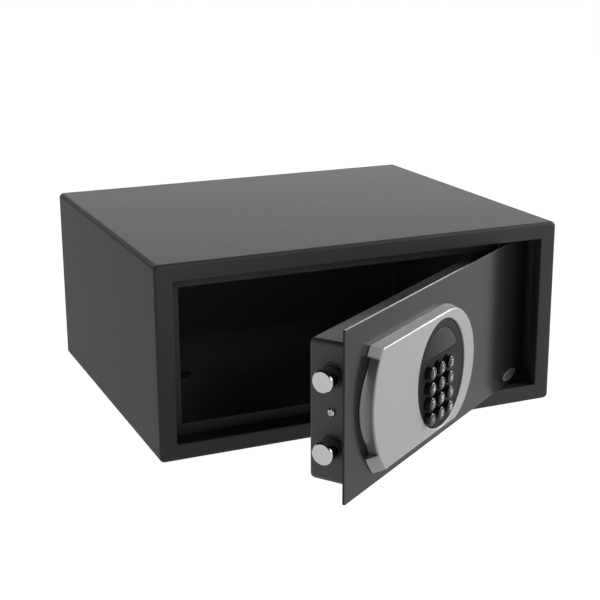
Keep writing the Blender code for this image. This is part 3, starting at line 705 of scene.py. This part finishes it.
# ---- lock pieces ------------------------------------------------------------------------------
def make_bolt(name, looks):
    """A chromed bolt with a chamfered nose; the tail behind the bush carries its stud."""
    low, high = in_door(f"bolt_{name}")
    r = (high[1] - low[1]) / 2
    z, n = (low[1] + high[1]) / 2, (low[2] + high[2]) / 2
    stud = 9.0
    profile = [(0.4, 0.0), (r - 1.5, 0.0)]
    profile += [(r - 1.5 + 0.4 * sin(t), 0.4 * (1 - cos(t))) for t in (pi / 8, pi / 4)]
    profile += [(r - 0.25, 1.05), (r - 0.08, 1.3), (r, 1.7)]
    length = high[0] - low[0]
    profile += [(r, length - stud - 0.4), (r - 0.4, length - stud), (2.5, length - stud), (2.5, length)]
    place = along_plate(low[0], n, z)
    bolt = make_object(f"bolt_body_{name}", turned(profile, 72), place, looks["bolt_chrome"])
    smooth(bolt, 28.0)
    finish_piece(bolt, "bolt_carriage", "bolt_chrome", f"bolt_{name}")


def make_bolt_bush(name, looks):
    low, high = in_door(f"bolt_bush_{name}")
    rim = (high[1] - low[1]) / 2
    z, n = (low[1] + high[1]) / 2, (low[2] + high[2]) / 2
    bore, body = rim - 1.6, rim - 0.8
    deep = high[0] - low[0]
    profile = [(bore, 0.35), (bore, deep), (body, deep), (body, 0.9), (rim, 0.9),
               (rim, 0.35), (rim - 0.35, 0.0),
               (bore + 0.35, 0.0)]
    ring = turned(profile, 64, False)
    bush = make_object(f"bolt_collar_{name}", ring, along_plate(low[0], n, z), looks["bush_plastic"])
    smooth(bush)
    finish_piece(bush, "door", "bush_plastic", f"bolt_bush_{name}")


def make_side_screw(looks):
    """A pan-head screw with a cross recess."""
    low, high = in_door("side_screw")
    r, z, n = (high[1] - low[1]) / 2, (low[1] + high[1]) / 2, (low[2] + high[2]) / 2
    turns = (pi / 8, pi / 5, pi / 3.5, pi / 2.6, pi / 2.05)
    profile = [(0.3, 0.0)] + [(r * sin(t), 2.1 * (1 - cos(t))) for t in turns]
    profile += [(r, 2.3), (1.9, 2.3), (1.9, high[0] - low[0])]
    screw = make_object("screw_head", turned(profile, 40), along_plate(low[0], n, z), looks["bolt_chrome"])
    for u, v in ((2.0, 0.42), (0.42, 2.0)):
        slot = prism([(-u, -v), (u, -v), (u, v), (-u, v)], -1.0, 1.5)
        cut(screw, slot, along_plate(low[0], n, z))
    smooth(screw, 40.0)
    finish_piece(screw, "door", "bolt_chrome", "side_screw")


def make_badge(looks):
    """A plain oval plate: raised rim round a recessed field with a smaller plain oval."""
    low, high = in_door("oval_badge")
    s, z, top = (low[0] + high[0]) / 2, (low[1] + high[1]) / 2, high[2]
    a, b = (high[0] - low[0]) / 2, (high[1] - low[1]) / 2
    steps = ((0.0, low[2]), (0.0, top - 0.5), (0.15, top - 0.15), (0.5, top), (1.5, top), (1.8, top - 0.15),
             (1.9, top - 0.45))
    rings = [[(u, v, n) for u, v in ellipse(0, 0, a - drop, b - drop, 96)] for drop, n in steps]
    badge = make_object("badge_plate", loft(rings), on_face(s, z), looks["badge_metal"])
    smooth(badge, 50.0)
    finish_piece(badge, "door", "badge_metal", "oval_badge")
    steps = ((3.1, top - 0.5), (3.1, top - 0.2), (3.3, top - 0.05), (3.6, top - 0.05))
    rings = [[(u, v, n) for u, v in ellipse(0, 0, a - drop, b - drop, 72)] for drop, n in steps]
    field = make_object("badge_inlay", loft(rings), on_face(s, z), looks["badge_field"])
    smooth(field, 50.0)
    finish_piece(field, "door", "badge_metal")


# ---- floor mat ----------------------------------------------------------------------------------
MAT_HOLES, MAT_HOLE_R = ((-0.120, 0.040), (0.120, 0.040)), 0.011    # over the floor's fixing holes


def make_mat(looks):
    """The felt mat: a sheet lying flat, slightly cockled, with cut edges and a corner notch."""
    low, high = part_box("floor_mat")
    thick = high[2] - low[2]
    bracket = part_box("hinge_bracket_bottom")[0]
    notch_x, notch_y = bracket[0] - 0.0105, -0.084
    step = 0.006
    columns = round((high[0] - low[0]) / step)
    rows = round((high[1] - low[1]) / step)
    xs = [low[0] + (high[0] - low[0]) * i / columns for i in range(columns + 1)]
    ys = [low[1] + (high[1] - low[1]) * j / rows for j in range(rows + 1)]
    xs[min(range(len(xs)), key=lambda i: abs(xs[i] - notch_x))] = notch_x
    ys[min(range(len(ys)), key=lambda j: abs(ys[j] - notch_y))] = notch_y
    bm = bmesh.new()
    grid = {}
    for i, x in enumerate(xs):
        for j, y in enumerate(ys):
            if x <= notch_x + 1e-6 or y >= notch_y - 1e-6:
                grid[i, j] = bm.verts.new((x, y, high[2]))
    for i in range(columns):
        for j in range(rows):
            corners = [(i, j), (i + 1, j), (i + 1, j + 1), (i, j + 1)]
            if all(c in grid for c in corners):
                bm.faces.new([grid[c] for c in corners])
    loose = [v for v in bm.verts if not v.link_faces]
    bmesh.ops.delete(bm, geom=loose, context="VERTS")
    area = sum(f.calc_area() for f in bm.faces) - len(MAT_HOLES) * pi * MAT_HOLE_R ** 2
    flat_top = list(bm.faces)
    made = bmesh.ops.extrude_face_region(bm, geom=flat_top)["geom"]
    lower = [g for g in made if isinstance(g, bmesh.types.BMVert)]
    upper = [v for v in bm.verts if v not in set(lower)]
    for vert in lower:
        vert.co.z = low[2]
    for vert in upper:
        wave = sin(vert.co.x * 61) * sin(vert.co.y * 53 + 1.0) + 0.5 * sin(vert.co.x * 173 + vert.co.y * 139)
        vert.co.z -= 0.2 * MM + 0.12 * MM * wave
    bmesh.ops.recalc_face_normals(bm, faces=bm.faces)
    mat = make_object("felt_mat", bm, Matrix(), looks["mat_felt"])
    for x, y in MAT_HOLES:
        hole = turned([(MAT_HOLE_R, low[2] - thick), (MAT_HOLE_R, high[2] + thick)], 40)
        cut(mat, hole, Matrix.Translation((x, y, 0)))
    round_edges(mat, 0.7, 3, 50.0)
    finish_piece(mat, "safe_body", "mat_felt", "floor_mat")


# ---- stage ---------------------------------------------------------------------------------------
FLOOR_SHADE, FLOOR_GLOW = 0.06, 1.0
HORIZON = (0.12, 0.40)         # height of a ray at which the pale backdrop starts and ends to fade
SURROUND, BACKDROP = 0.01, 0.75
LIGHTS = (                     # name, place, size in metres, watts
    ("behind", (1.0, 2.4, 0.7), (3.0, 0.9), 32.0),
    ("right", (2.2, -1.8, 1.0), (1.6, 1.2), 50.0),
    ("side", (2.6, -0.2, 1.2), (1.6, 1.2), 130.0),
    ("left", (-2.4, -0.8, 1.0), (1.6, 1.2), 6.0),
    ("front", (0.4, -2.6, 1.0), (1.6, 1.2), 10.0),
)


def make_stage():
    """A plain pale floor with a dark sheet of painted shade under the body, wide soft lights and a pale surround.
    """
    bm = bmesh.new()
    bmesh.ops.create_grid(bm, x_segments=1, y_segments=1, size=12.0)
    look = Look("pale_floor", (FLOOR_SHADE,) * 3, 0.9)
    look.shader.inputs["Specular IOR Level"].default_value = 0.0
    look.shader.inputs["Emission Color"].default_value = (1, 1, 1, 1)
    look.shader.inputs["Emission Strength"].default_value = FLOOR_GLOW
    under = Matrix.Translation((0, 0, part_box("casing")[0][2] - 0.0005))
    floor = make_object("floor", bm, under, look.material)
    low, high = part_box("casing")
    # a dark sheet just under the body, where the glowing floor would show through: painted shade
    shade_outline = [(low[0] + 0.02, low[1] + 0.02), (high[0] - 0.02, low[1] + 0.02),
               (high[0] - 0.02, high[1] - 0.02), (low[0] + 0.02, high[1] - 0.02)]
    shade = Look("floor_painted_shade", (FLOOR_SHADE,) * 3, 0.9)
    make_object("shade_sheet_under_body", prism(shade_outline, low[2] - 0.0004, low[2] - 0.0002), Matrix(),
                         shade.material)

    world = bpy.data.worlds.new("studio")
    bpy.context.scene.world = world
    world.use_nodes = True
    tree = world.node_tree
    back = tree.nodes["Background"]
    back.inputs["Color"].default_value = (1.0, 1.0, 1.0, 1.0)
    split = tree.nodes.new("ShaderNodeSeparateXYZ")
    tree.links.new(tree.nodes.new("ShaderNodeTexCoord").outputs["Generated"], split.inputs[0])
    fade = tree.nodes.new("ShaderNodeMapRange")
    fade.interpolation_type = "SMOOTHSTEP"
    for socket, value in zip(("From Min", "From Max", "To Min", "To Max"), (*HORIZON, BACKDROP, SURROUND)):
        fade.inputs[socket].default_value = value
    tree.links.new(split.outputs["Z"], fade.inputs["Value"])
    tree.links.new(fade.outputs["Result"], back.inputs["Strength"])

    for name, place, size, watts in LIGHTS:
        data = bpy.data.lights.new(name, "AREA")
        data.shape = "RECTANGLE"
        data.size, data.size_y = size
        data.energy = watts
        lamp = bpy.data.objects.new(name, data)
        lamp.location = place
        aim = Vector((0.0, -0.1, 0.08)) - lamp.location
        lamp.rotation_mode = "QUATERNION"
        lamp.rotation_quaternion = aim.to_track_quat("-Z", "Y")
        lamp.visible_camera = False
        bpy.context.scene.collection.objects.link(lamp)

    bpy.context.scene.view_settings.view_transform = "Standard"


def main():
    make_camera()
    looks = make_looks()
    dress_nodes(looks)
    make_housing(looks)
    make_panel(looks)
    for name, place in key_places().items():
        make_key(name, place, looks)
    for name in ("upper", "lower"):
        make_bolt(name, looks)
        make_bolt_bush(name, looks)
    make_side_screw(looks)
    make_badge(looks)
    make_mat(looks)
    make_stage()


main()
